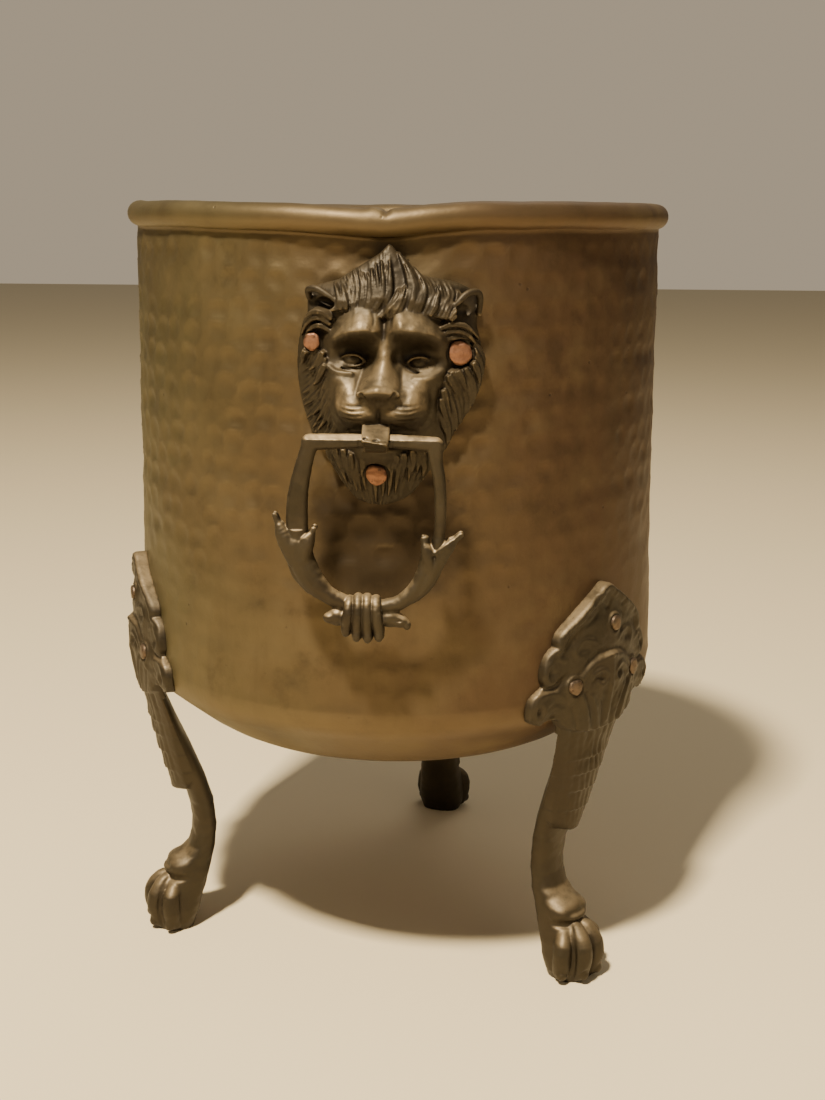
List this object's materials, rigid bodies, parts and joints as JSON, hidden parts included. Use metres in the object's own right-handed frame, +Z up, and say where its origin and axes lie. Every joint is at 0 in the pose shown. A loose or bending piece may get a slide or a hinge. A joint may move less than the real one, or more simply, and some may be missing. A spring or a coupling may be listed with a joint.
{
  "type": "planter pot",
  "caption": "Round hammered planter pot with a wired rim on cast paw-foot legs, with lion-mask drop ring handles riveted to its wall.",
  "frame": {"origin": "the middle of the whole object's footprint box, at the table surface that the paws stand on; the pot's axis stands 2.5 mm towards +X from it, because the left leg reaches further out than the wall does on the right", "axes": "+Z up, parallel to the pot's axis, -Y towards the front lion mask, +X to the right of someone facing that lion"},
  "size_m": [0.2388, 0.2764, 0.3297],
  "materials": {
    "hammered_sheet": "hand-hammered sheet, aged olive to red-brown patina, satin",
    "cast_brass": "cast, dark grey-brown patina, rubbed bright on raised edges",
    "copper_rivet": "peened copper heads, dull pinkish brown",
    "iron_wire": "drawn iron wire, hidden inside the rim"
  },
  "bodies": {
    "pot": {"pot_shell": "hammered_sheet", "rim_wire": "iron_wire", "front_lion_mask": "cast_brass", "rear_lion_mask": "cast_brass", "leg_right": "cast_brass", "leg_left": "cast_brass", "leg_rear": "cast_brass", "front_mask_rivets": "copper_rivet", "rear_mask_rivets": "copper_rivet", "leg_right_rivets": "copper_rivet", "leg_left_rivets": "copper_rivet", "leg_rear_rivets": "copper_rivet"},
    "front_ring": {"front_ring_handle": "cast_brass"},
    "rear_ring": {"rear_ring_handle": "cast_brass"}
  },
  "joints": [
    {"name": "front_ring_swing", "type": "hinge", "parent": "pot", "child": "front_ring", "pos_m": [0.0025, -0.132, 0.245], "axis": [-1, 0, 0], "range_deg": [-7, 175]},
    {"name": "rear_ring_swing", "type": "hinge", "parent": "pot", "child": "rear_ring", "pos_m": [0.0025, 0.132, 0.245], "axis": [1, 0, 0], "range_deg": [-7, 175]}
  ]
}
